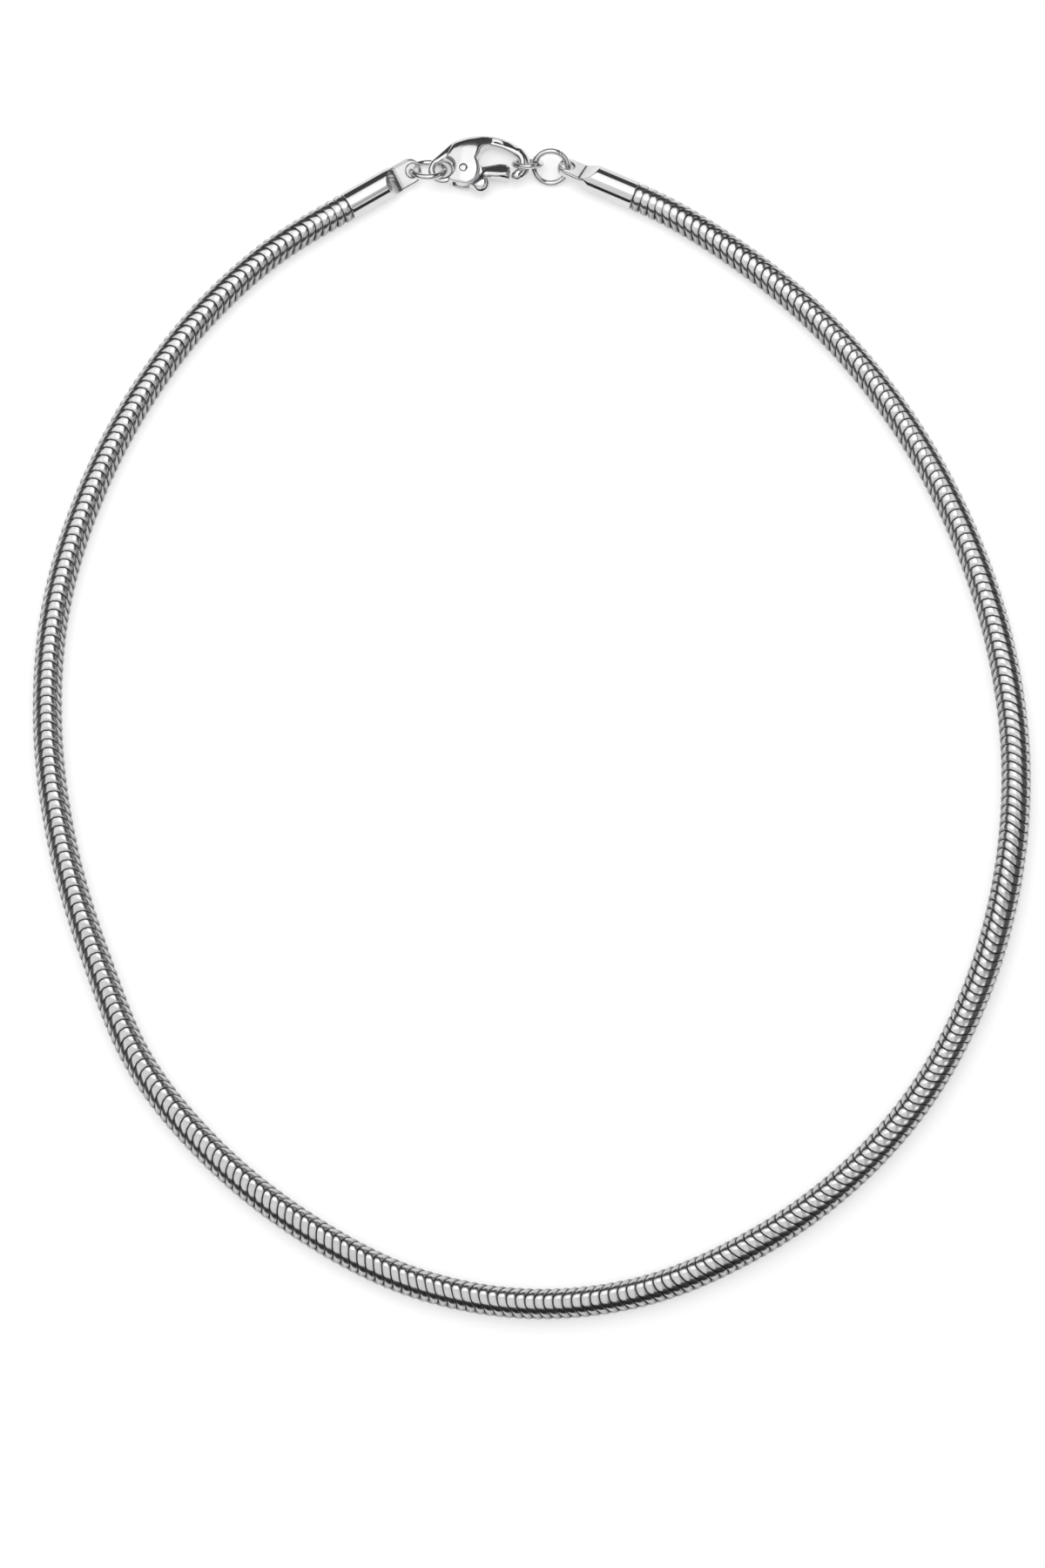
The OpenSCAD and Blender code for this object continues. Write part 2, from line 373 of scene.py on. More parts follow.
def edge_distance(points: Sequence[Point], outline: Sequence[Point]) -> np.ndarray:
    """How far points lie from an outline.

    Args:
        points: The points.
        outline: The corners of a closed outline.

    Returns:
        One distance a point.
    """
    at = np.asarray(points)
    nearest = np.full(len(at), np.inf)
    for (ax, ay), (bx, by) in zip(outline, [*outline[1:], outline[0]]):
        step = np.array([bx - ax, by - ay])
        away = at - (ax, ay)
        share = np.clip(away @ step / max(step @ step, TINY * TINY), 0.0, 1.0)
        nearest = np.minimum(nearest, np.hypot(*(away - share[:, None] * step).T))
    return nearest


def pillow(obj: Thing, outline: Sequence[Point], reach: float, rim: float, keep: float,
           height: Field) -> None:
    """Rounds the faces of a plate down towards its outline, as filing and tumbling do.

    Args:
        obj: A finely meshed plate on the XY plane.
        outline: Its outline.
        reach: How far in from the outline the rounding reaches.
        rim: The share of the height that is left at the outline.
        keep: The half thickness that isn't touched.
        height: The share of the height that is kept at a place away from the outline.
    """
    points = obj.data.vertices
    away = edge_distance([(point.co.x, point.co.y) for point in points], outline)
    for point, gap in zip(points, away):
        tall = abs(point.co.z) - keep
        if tall > 0:
            share = 1 - min(1.0, gap / reach)
            kept = (rim + (1 - rim) * math.sqrt(1 - share * share)) * height(point.co.x, point.co.y)
            point.co.z = math.copysign(keep + tall * kept, point.co.z)


def lean(obj: Thing, radius: float, amount: float, outward: Field,
         full: Field = lambda x, y: 0.0, most: float = 3.0) -> None:
    """Leans the faces of a round bar on the XY plane outwards, so that its inner side is the higher one.

    Args:
        obj: The bar.
        radius: Its radius.
        amount: The share of the height that moves.
        outward: How far a place lies outside the bar's centre line.
        full: How boxy the bar is at a place, from 0 for round.
        most: The most that a boxy bar's height is multiplied by.
    """
    for point in obj.data.vertices:
        across = max(-1.0, min(1.0, outward(point.co.x, point.co.y) / radius))
        power = 2 + 2 * full(point.co.x, point.co.y)
        tall = (1 - abs(across) ** power) ** (1 / power) / max(TINY, math.sqrt(1 - across * across))
        point.co.z *= min(most, tall) * (1 - amount * across)


def smooth_shade(obj: Thing, crease: float = 180.0) -> None:
    """Shades an object smooth, with edges above that angle left sharp.

    Args:
        obj: The object.
        crease: The angle, in degrees.
    """
    take_up(obj)
    if crease >= 180:
        bpy.ops.object.shade_smooth()
    else:
        bpy.ops.object.shade_smooth_by_angle(angle=math.radians(crease))


def hand_over(obj: Thing, name: str, node: str, material: bpy.types.Material,
              body: Body = Body.NECKLACE) -> None:
    """Brings a finished piece to the frame's metres, names and dresses it and fixes it to its body.

    Args:
        obj: The piece, in millimetres.
        name: Its plain name.
        node: The CAD node that it stands for.
        material: Its finish.
        body: The body that it rides on.
    """
    obj.scale = (METRES_PER_MM,) * 3
    apply_place(obj)
    obj.name = obj.data.name = name
    obj.data.materials.clear()
    obj.data.materials.append(material)
    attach(obj, body.value)
    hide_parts(node)
    put_down()
    LOG.info("%s: %d faces, rides %s, stands for %s", name, len(obj.data.polygons), body.value, node)


# --- Finishes ---


class Tap:
    """A socket of a shader tree that turns arithmetic on it into Math nodes."""

    def __init__(self, desk: "ShaderDesk", socket: bpy.types.NodeSocket) -> None:
        """Wraps one output socket of a desk's tree."""
        self.desk = desk
        self.socket = socket

    def __add__(self, other: "Tap | float") -> "Tap":
        """This value plus another."""
        return self.desk.maths("ADD", self, other)

    __radd__ = __add__

    def __mul__(self, other: "Tap | float") -> "Tap":
        """This value times another."""
        return self.desk.maths("MULTIPLY", self, other)

    __rmul__ = __mul__

    def __sub__(self, other: "Tap | float") -> "Tap":
        """This value less another."""
        return self.desk.maths("SUBTRACT", self, other)

    def __rsub__(self, other: float) -> "Tap":
        """Another value less this one."""
        return self.desk.maths("SUBTRACT", other, self)

    def __pow__(self, other: float) -> "Tap":
        """This value raised to a power."""
        return self.desk.maths("POWER", self, other)

    def clamped(self) -> "Tap":
        """This value held between 0 and 1."""
        return self.desk.node("ShaderNodeClamp", {}, {"Value": self})


class ShaderDesk:
    """Lays out the shader tree of one material or of the room."""

    def __init__(self, owner: bpy.types.Material | bpy.types.World) -> None:
        """Empties the owner's shader tree."""
        self.owner = owner
        owner.use_nodes = True
        self.tree = owner.node_tree
        self.tree.nodes.clear()

    def node(self, kind: str, settings: dict[str, Any], sockets: dict[str | int, Any],
             out: str | int = 0) -> Tap:
        """Adds one node.

        Args:
            kind: The node's type.
            settings: Its properties, set first.
            sockets: A value or a tap for each input that isn't left as it is.
            out: The output that is handed back.

        Returns:
            The chosen output.
        """
        made = self.tree.nodes.new(kind)
        for name, value in settings.items():
            setattr(made, name, value)
        for key, value in sockets.items():
            if isinstance(value, Tap):
                self.tree.links.new(value.socket, made.inputs[key])
            else:
                made.inputs[key].default_value = value
        return Tap(self, made.outputs[out] if made.outputs else None)

    def maths(self, operation: str, a: Tap | float, b: Tap | float) -> Tap:
        """One Math node on two values."""
        return self.node("ShaderNodeMath", {"operation": operation}, {0: a, 1: b})

    def place(self, per_mm: float, stretch: Colour = (1.0, 1.0, 1.0)) -> Tap:
        """Object coordinates scaled to a pattern.

        Args:
            per_mm: How many repeats of the pattern fill a millimetre.
            stretch: What each axis is multiplied by besides.

        Returns:
            The vector to feed a texture with.
        """
        coordinates = self.node("ShaderNodeTexCoord", {}, {}, "Object")
        scale = tuple(per_mm / METRES_PER_MM * part for part in stretch)
        return self.node("ShaderNodeMapping", {}, {"Vector": coordinates, "Scale": scale})

    def noise(self, per_mm: float, detail: float, stretch: Colour = (1.0, 1.0, 1.0)) -> Tap:
        """A noise value from 0 to 1 at that scale."""
        return self.node(
            "ShaderNodeTexNoise", {}, {"Vector": self.place(per_mm, stretch), "Scale": 1.0, "Detail": detail}
        )

    def blend(self, share: Tap | float, first: Tap | Colour, second: Tap | Colour) -> Tap:
        """Mixes two colours by a share."""
        ends = [end if isinstance(end, Tap) else (*end, 1.0) for end in (first, second)]
        return self.node("ShaderNodeMix", {"data_type": "RGBA"}, {0: share, 6: ends[0], 7: ends[1]}, 2)

    def finish(self, sockets: dict[str, Any]) -> bpy.types.Material:
        """Adds the shader and the material's output.

        Args:
            sockets: What the Principled shader's inputs get.

        Returns:
            The finished material.
        """
        shader = self.node("ShaderNodeBsdfPrincipled", {}, sockets)
        self.node("ShaderNodeOutputMaterial", {}, {"Surface": shader})
        return self.owner


@dataclass(frozen=True)
class PolishedSteel:
    """Polished stainless steel with faint duller patches and hairline scratches, and painted shade where a
    mesh attribute holds it.
    """

    name: str
    bright: Colour = (0.7, 0.7, 0.705)
    dull: Colour = (0.61, 0.61, 0.62)
    rough: Point = (0.09, 0.17)
    # The duller patches: their scale, the gain and offset that spread them, and their share of the roughness
    patches_per_mm: float = 0.35
    patch_gain: float = 1.6
    patch_offset: float = 0.3
    patch_share: float = 0.7
    # The hairline scratches and the shallow dents
    hairs_per_mm: float = 9.0
    hair_stretch: Colour = (1.0, 0.08, 0.35)
    hair_depth_mm: float = 0.0012
    dent_depth_mm: float = 0.004
    dents_per_mm: float = 0.9
    # The mesh attribute of painted shade, from how deep a place lies, and what the most shaded places look
    # like: darker and rougher
    painted_shade: str = ""
    painted_shade_colour: Colour = (0.09, 0.09, 0.092)
    painted_shade_power: float = 1.5
    painted_shade_rough: float = 0.25

    def material(self) -> bpy.types.Material:
        """Builds the finish as a node tree.

        Returns:
            The material.
        """
        desk = ShaderDesk(bpy.data.materials.new(self.name))
        patches = desk.noise(self.patches_per_mm, detail=3.0)
        hairs = desk.noise(self.hairs_per_mm, detail=4.0, stretch=self.hair_stretch)
        dents = desk.noise(self.dents_per_mm, detail=2.0)
        low, high = self.rough
        roughness = low + (high - low) * (self.patch_share * patches + (1 - self.patch_share) * hairs)
        colour = desk.blend((self.patch_gain * patches - self.patch_offset).clamped(), self.bright, self.dull)
        if self.painted_shade:
            depth = desk.node("ShaderNodeAttribute", {"attribute_name": self.painted_shade}, {}, "Fac")
            # Painted shade: the attribute blends the colour towards near black and adds roughness
            colour = desk.blend((depth ** self.painted_shade_power).clamped(), colour, self.painted_shade_colour)
            roughness = roughness + self.painted_shade_rough * depth
        height = dents * (self.dent_depth_mm * METRES_PER_MM) + hairs * (self.hair_depth_mm * METRES_PER_MM)
        normal = desk.node("ShaderNodeBump", {}, {"Strength": 1.0, "Distance": 1.0, "Height": height})
        return desk.finish({"Base Color": colour, "Metallic": 1.0, "Roughness": roughness, "Normal": normal})


@dataclass(frozen=True)
class PaleTable:
    """The plain pale surface under the necklace."""

    name: str = "pale_table"
    tone: Colour = (0.62, 0.62, 0.62)
    shade: Colour = (0.6, 0.6, 0.602)
    patches_per_mm: float = 0.01
    rough: float = 0.9
    sheen: float = 0.1
    glow: float = 0.42

    def material(self) -> bpy.types.Material:
        """Builds the surface as a node tree.

        Returns:
            The material.
        """
        desk = ShaderDesk(bpy.data.materials.new(self.name))
        colour = desk.blend(desk.noise(self.patches_per_mm, detail=2.0), self.tone, self.shade)
        return desk.finish({
            "Base Color": colour, "Roughness": self.rough, "Specular IOR Level": self.sheen,
            "Emission Color": WHITE, "Emission Strength": self.glow,
        })


# --- The layout that all pieces share, as the source states it ---


@dataclass(frozen=True)
class Layout:
    """Sizes and places of the clasp, rings and caps, in millimetres."""

    axis_h: float = 2.0
    clasp_at: Point = (-7.0, 77.9)
    pivot: Point = (-2.4, -1.15)
    eye_at: Point = (-5.2, -0.9)
    dome_at: Point = (-1.4, 0.2)
    spine_r: float = 8.5
    spine_at: Point = (0.15, -5.2)
    hook_r: float = 0.8
    crook_r: float = 2.05
    crook_from: float = 53.3
    crook_to: float = -60.0
    eye_r: float = 1.6
    eye_wire: float = 1.0
    ring_r: float = 2.325
    ring_wire: float = 0.85
    hook_ring_r: float = 1.95
    hook_ring_wire: float = 0.7
    right_ring_y: float = -0.5
    link_gap: float = 0.12
    link_slack: float = 0.3
    eye_in: float = 0.2
    eyelet_in: float = 0.12
    cap_reach: float = 10.4
    left_heading: float = 31.5
    right_heading: float = 155.5

    @property
    def crook_at(self) -> Point:
        """Middle of the hook's crook."""
        return offset(self.spine_at, polar(self.spine_r - self.crook_r, self.crook_from))

    @property
    def nose_tip(self) -> Point:
        """Middle of the hook's round tip."""
        return offset(self.crook_at, polar(self.crook_r, self.crook_to))

    @property
    def right_ring_at(self) -> Point:
        """Middle of the ring at the right cap."""
        nose_x = self.crook_at[0] + self.crook_r + self.hook_r
        return nose_x + self.link_gap + self.ring_wire / 2 + self.ring_r, self.right_ring_y

    @property
    def hook_ring_at(self) -> Point:
        """Middle of the ring that the hook holds."""
        inner = self.right_ring_at[0] - self.ring_r + (self.ring_wire + self.hook_ring_wire) / 2
        return inner + self.link_slack - self.hook_ring_r, 0.0

    @property
    def left_ring_at(self) -> Point:
        """Middle of the ring at the left cap."""
        return offset(self.eye_at, (self.eye_in - self.ring_r, 0.0))

    @property
    def right_mouth(self) -> Point:
        """Where the chain leaves the right cap."""
        eyelet = offset(offset(self.clasp_at, self.right_ring_at), (self.ring_r - self.eyelet_in, 0.0))
        return offset(eyelet, polar(-self.cap_reach, self.right_heading))

    @property
    def left_mouth(self) -> Point:
        """Where the chain leaves the left cap."""
        eyelet = offset(offset(self.clasp_at, self.left_ring_at), (self.eyelet_in - self.ring_r, 0.0))
        return offset(eyelet, polar(-self.cap_reach, self.left_heading))


LAYOUT = Layout()


# --- Sub-assemblies ---


@dataclass
class SnakeChain:
    """The round chain: one ribbed link, repeated along the route, with painted shade, over a dark core that
    is painted shade for the chain's inside.
    """

    # The chain's middle seen from above, from the right cap to the left one, as the source states it
    route_points: tuple[Point, ...] = (
        (29, 64), (41.5, 52.5), (51, 39.5), (58.5, 24), (63, 8), (64.5, -8.5), (62.5, -25.5), (58, -39.5),
        (50, -53.5), (39.5, -64.5), (28.5, -72), (14, -78), (-1, -79.5), (-14.5, -77), (-29.5, -69.5),
        (-42, -59.5), (-51, -48.5), (-57, -35), (-62, -19.5), (-64.5, -4), (-64, 13.5), (-59.5, 30.5),
        (-52.5, 45), (-45.5, 55), (-36, 64.5),
    )
    radius: float = 2.0
    pitch: float = 1.2
    gap: float = 0.06
    sides: int = 18
    # How far the rims wave along the chain, and the length near a cap over which the wave dies away
    wave: float = 0.62
    wave_fade: float = 6.0
    # Places along the chain, and how far it has turned about its own axis there, in degrees
    twist: tuple[Point, ...] = (
        (0, 85), (60, 80), (100, 48), (146, -18), (178, -28),
        (200, 0), (225, -28), (300, 0), (370, -14), (410, -14),
    )
    # A link's face from rim to middle: the share of its length from its middle, and the radius
    crown: tuple[Point, ...] = ((0.5, 1.77), (0.42, 1.92), (0.0, 2.0))
    # The radius at or below which a groove's painted shade is full
    full_shade_r: float = 1.66
    # How strong the painted shade on the chain's sides is at a link's middle and at its rims, and between
    # which heights
    side_shade: Point = (0.52, 1.25)
    side_shade_top: float = 1.5
    side_shade_bottom: float = -0.9
    side_shade_fade: float = 0.6
    # How near the rims that painted side shade gathers, and the share of the radius that the rims lose at the
    # sides
    rim_power: int = 3
    side_notch: float = 0.04
    core_r: float = 1.62
    seat_l: float = 2.8
    mouth_gap: float = 0.1
    core_steps: int = 420
    curve_steps: int = 48
    link_crease: float = 45.0
    core_crease: float = 50.0
    # The links' finish reads the painted shade attribute: painted shade in the grooves between links and on
    # the chain's sides
    finish: PolishedSteel = PolishedSteel(
        "chain_steel_polished", bright=(0.7, 0.7, 0.705), dull=(0.58, 0.58, 0.59), rough=(0.1, 0.2),
        patches_per_mm=0.8, painted_shade="painted_shade",
    )
    # The core's dark steel is painted shade for the inside of the chain, seen through the gaps between links
    core_finish: PolishedSteel = PolishedSteel(
        "chain_core_painted_shade", bright=(0.24, 0.24, 0.245), dull=(0.16, 0.16, 0.165), rough=(0.35, 0.5),
    )

    def route(self) -> list[Vector]:
        """Every point of the route, from the right cap's mouth to the left one's."""
        flat = [LAYOUT.right_mouth, *self.route_points, LAYOUT.left_mouth]
        return [Vector((x, y, LAYOUT.axis_h)) for x, y in flat]

    def slopes(self, points: list[Vector]) -> list[Vector]:
        """The route's direction at each point, weighted by the spans beside it.

        Args:
            points: The route.

        Returns:
            One vector a point.
        """
        start = Vector((*polar(-1.0, LAYOUT.right_heading), 0.0))
        end = Vector((*polar(1.0, LAYOUT.left_heading), 0.0))
        inner = []
        for before, here, after in zip(points, points[1:], points[2:]):
            a, b = (here - before).length, (after - here).length
            inner.append(((here - before) * b / a + (after - here) * a / b) / (a + b))
        return [start, *inner, end]

    def guide(self) -> Thing:
        """The route as a Bezier curve that bends the straight row of links.

        Returns:
            The curve.
        """
        points = self.route()
        slopes = self.slopes(points)
        guide = make(bpy.ops.curve.primitive_bezier_curve_add)
        spline = guide.data.splines[0]
        spline.bezier_points.add(len(points) - 2)
        for i, (knot, here, slope) in enumerate(zip(spline.bezier_points, points, slopes)):
            before = (here - points[i - 1]).length if i else 1.0
            after = (points[i + 1] - here).length if i + 1 < len(points) else 1.0
            knot.handle_left_type = knot.handle_right_type = "FREE"
            knot.co = here
            knot.handle_left = here - slope * before / 3
            knot.handle_right = here + slope * after / 3
        guide.data.dimensions = "3D"
        guide.data.twist_mode = "Z_UP"
        guide.data.resolution_u = self.curve_steps
        return guide

    def ring_loop(self, obj: Thing, step: float, grow: float, at: float) -> None:
        """Extrudes the selected rim along the chain and changes its radius.

        Args:
            obj: The link, in edit mode with the rim selected.
            step: How far the rim moves along X.
            grow: What its radius is multiplied by.
            at: Where the rim is after the move.
        """
        bpy.ops.mesh.extrude_edges_move(TRANSFORM_OT_translate={"value": (step, 0, 0)})
        bpy.ops.transform.resize(value=(1, grow, grow), center_override=(at, 0, 0))

    def link(self, pitch: float) -> Thing:
        """One link: a closed ring with a crowned face, whose rims wave round it.

        Args:
            pitch: The length that one link takes up.

        Returns:
            The link, at the start of the row.
        """
        half = [(x * (pitch - self.gap), r) for x, r in self.crown]
        profile = [(-x, r) for x, r in half] + [(x, r) for x, r in reversed(half[:-1])]
        first, edge = profile[0], profile[-1][0]
        link = apply_place(make(
            bpy.ops.mesh.primitive_circle_add, vertices=self.sides, radius=first[1],
            location=(first[0], 0, 0), rotation=(0, QUARTER_TURN, 0),
        ))
        edit(link, "EDGE")
        for (x0, r0), (x1, r1) in zip(profile, profile[1:]):
            self.ring_loop(link, x1 - x0, r1 / r0, x1)
        pick(link, "EDGE", lambda rim: all(abs(abs(x) - edge) < TOUCH_MM for x in ends_x(link, rim)))
        bpy.ops.mesh.bridge_edge_loops()
        bpy.ops.mesh.select_all(action="SELECT")
        bpy.ops.mesh.normals_make_consistent(inside=False)
        put_down()
        self.paint_shade_and_notch(link, edge)
        for vertex in link.data.vertices:
            vertex.co.x += pitch / 2
        return link

    def paint_shade_and_notch(self, link: Thing, edge: float) -> None:
        """Paints shade into an attribute from how deep each point of a link lies and whether it is on the
        chain's sides, and draws its rims in at the sides.

        Args:
            link: The link, with its middle at the origin.
            edge: Half the link's length.
        """
        middle, brim = self.side_shade
        depth = link.data.attributes.new(self.finish.painted_shade, "FLOAT", "POINT")
        for vertex, cell in zip(link.data.vertices, depth.data):
            at = vertex.co
            out = math.hypot(at.y, at.z)
            rim = abs(at.x / edge) ** self.rim_power
            # Painted shade on the sides between two heights, stronger near the rims, and painted shade deeper
            # in the grooves
            inside = min(self.side_shade_top - at.z, at.z - self.side_shade_bottom)
            side_shaded = held(inside / self.side_shade_fade) * (middle + (brim - middle) * rim)
            cell.value = min(1.0, max(side_shaded, (self.radius - out) / (self.radius - self.full_shade_r)))
            lower = 1 - self.side_notch * rim * (at.y / out) ** 2
            at.y, at.z = at.y * lower, at.z * lower

    def twist_at(self, along: float) -> float:
        """How far the chain has turned about its own axis, in degrees, eased between the known places.

        Args:
            along: The place, as a length along the chain.

        Returns:
            The turn.
        """
        for (start, first), (end, second) in zip(self.twist, self.twist[1:]):
            if along <= end:
                share = (along - start) / (end - start)
                return first + (second - first) * (1 - math.cos(math.pi * share)) / 2
        return self.twist[-1][1]

    def wave_rims(self, row: Thing, count: int, length: float) -> None:
        """Waves the rims of each link in the row twice round, following the chain's slow twist.

        Args:
            row: The straight row of links.
            count: How many links it has.
            length: The route's length.
        """
        points = row.data.vertices
        a_link = len(points) // count
        for k in range(count):
            ring = points[k * a_link:(k + 1) * a_link]
            along = sum(point.co.x for point in ring) / a_link
            height = self.wave * min(1.0, min(along, length - along) / self.wave_fade)
            turn = math.radians(self.twist_at(along))
            for point in ring:
                around = math.atan2(point.co.y, point.co.z)
                point.co.x += height * math.cos(2 * (around - turn))

    def bend(self, obj: Thing, guide: Thing) -> Thing:
        """Bends a straight row along the route."""
        return apply_modifier(obj, "CURVE", object=guide, deform_axis="POS_X")

    def core(self, length: float) -> Thing:
        """The dark tube under the links, painted shade for the chain's inside, which reaches into both caps.

        Args:
            length: The route's length between the mouths.

        Returns:
            The straight core.
        """
        core = apply_place(make(
            bpy.ops.mesh.primitive_cylinder_add, vertices=self.sides, radius=self.core_r,
            depth=length + 2 * self.seat_l, location=(length / 2, 0, 0), rotation=(0, QUARTER_TURN, 0),
        ))
        pick(core, "EDGE", lambda side: np.ptp(ends_x(core, side)) > length)
        bpy.ops.mesh.subdivide_edgering(number_cuts=self.core_steps, smoothness=0.0)
        put_down()
        return core

    def build(self) -> None:
        """Makes the links and the core and fixes them to the necklace."""
        guide = self.guide()
        length = guide.data.splines[0].calc_length(resolution=self.curve_steps)
        room = length - 2 * self.mouth_gap
        count = round(room / self.pitch)
        pitch = room / count
        links = self.link(pitch)
        apply_modifier(
            links, "ARRAY", fit_type="FIXED_COUNT", count=count, use_relative_offset=False,
            use_constant_offset=True, constant_offset_displace=(pitch, 0, 0),
        )
        links.location.x = self.mouth_gap
        apply_place(links)
        self.wave_rims(links, count, length)
        self.bend(links, guide)
        smooth_shade(links, self.link_crease)
        core = self.bend(self.core(length), guide)
        smooth_shade(core, self.core_crease)
        drop(guide)
        LOG.info("chain: %d links at %.3f mm along %.1f mm", count, pitch, length)
        hand_over(links, "chain_links", "snake_chain", self.finish.material())
        hand_over(core, "chain_core", "snake_chain", self.core_finish.material())


@dataclass
class EndCap:
    """A sleeve over the chain's end, pressed down to a flat tongue with an eyelet."""

    name: str
    node: str
    mouth: Point
    heading: float
    roll: float
    radius: float = 2.0
    wall: float = 0.3
    sleeve_l: float = 6.0
    slope_l: float = 2.2
    tongue_l: float = 2.2
    tongue_w: float = 3.6
    tongue_t: float = 0.8
    eyelet_r: float = 0.9
    edge: float = 1.2
    bore_l: float = 2.9
    # Where along the slope the sides draw in, and how round the tongue's corners are
    waist_share: float = 0.3
    corner_share: float = 0.42
    slope_steps: int = 10
    voxel: float = 0.07
    strokes: int = 16
    finish: PolishedSteel = PolishedSteel(
        "cap_steel_polished", rough=(0.07, 0.14), hair_stretch=(1.0, 0.3, 0.3)
    )

    @property
    def reach(self) -> float:
        """From the mouth to the eyelet's middle."""
        return self.sleeve_l + self.slope_l + self.tongue_l

    def side_profile(self) -> list[Point]:
        """The pressed shape seen from the side: full height, two hollow slopes, and the flat tongue.

        Returns:
            The outline.
        """
        half, end, thin = self.radius + PAST_MM, self.reach + self.edge + PAST_MM, self.tongue_t / 2
        steps = self.slope_steps
        slope = [
            (self.sleeve_l + self.slope_l * i / steps, thin + (self.radius - thin) * (1 - i / steps) ** 2)
            for i in range(steps + 1)
        ]
        upper = [(-PAST_MM, half), (self.sleeve_l - SLIVER_MM, half), *slope, (end, thin)]
        return [(x, -y) for x, y in upper] + upper[::-1]

    def plan(self) -> list[Point]:
        """The tongue seen from above: a little narrower than the sleeve, with a round end.

        Returns:
            The outline.
        """
        half, end, side = self.radius + PAST_MM, self.reach + self.edge, self.tongue_w / 2
        round_r = self.tongue_w * self.corner_share
        start = self.sleeve_l + self.slope_l * self.waist_share
        upper = [
            (-PAST_MM, half), (start - SLIVER_MM, half), (start, self.radius),
            (self.sleeve_l + self.slope_l, side),
            *arc((end - round_r, side - round_r), round_r, 90, 0, steps=10),
        ]
        return [(x, -y) for x, y in upper] + upper[::-1]

    def cylinder(self, radius: float, start: float, end: float) -> Thing:
        """A round tool along the sleeve."""
        return round_bar((start, 0, 0), (end, 0, 0), (radius, radius), sides=96)

    def build(self) -> None:
        """Presses, drills and polishes the cap and puts it in place."""
        end, tool_t = self.reach + self.edge, 4 * self.radius
        cap = self.cylinder(self.radius, 0.0, end)
        side = extruded_outline(self.side_profile(), tool_t)
        side.rotation_euler = (QUARTER_TURN, 0, 0)
        apply_place(side)
        drill(cap, side, extruded_outline(self.plan(), tool_t), keep=True)
        bottom, top = (self.reach, 0, -self.radius), (self.reach, 0, self.radius)
        eyelet = round_bar(bottom, top, (self.eyelet_r, self.eyelet_r), sides=64)
        drill(cap, self.cylinder(self.radius - self.wall, -PAST_MM, self.bore_l), eyelet)
        cast_in_one(cap, self.voxel, self.strokes)
        cap.rotation_euler = (math.radians(self.roll), 0, math.radians(self.heading))
        cap.location = (*self.mouth, LAYOUT.axis_h)
        apply_place(cap)
        smooth_shade(cap)
        hand_over(cap, self.name, self.node, self.finish.material())


@dataclass
class JumpRing:
    """A ring of round wire, bent shut with its two ends meeting in a fine slit. Its angles are in degrees."""

    name: str
    node: str
    centre: Point
    lean: float
    slit_at: float
    radius: float = LAYOUT.ring_r
    wire: float = LAYOUT.ring_wire
    slit: float = 0.05
    steps: int = 128
    sides: int = 24
    # How far the edges of the wire's ends are eased, and how sharp an edge has to be for it
    ease: float = 0.04
    ease_above: float = 60.0
    crease: float = 40.0
    finish: PolishedSteel = PolishedSteel("ring_steel_polished", rough=(0.08, 0.16), patches_per_mm=0.6)

    def build(self) -> None:
        """Bends the wire, eases the edges of its ends and hangs it in place."""
        half_slit = math.degrees(self.slit / 2 / self.radius)
        start, end = self.slit_at + half_slit, self.slit_at + 360 - half_slit
        ring = bent_bar((0.0, 0.0), self.radius, self.wire / 2, start, end, self.steps, self.sides)
        apply_modifier(
            ring, "BEVEL", width=self.ease, segments=2, limit_method="ANGLE",
            angle_limit=math.radians(self.ease_above),
        )
        ring.rotation_euler = (math.radians(self.lean), 0, 0)
        ring.location = (*offset(LAYOUT.clasp_at, self.centre), LAYOUT.axis_h)
        apply_place(ring)
        smooth_shade(ring, self.crease)
        hand_over(ring, self.name, self.node, self.finish.material())


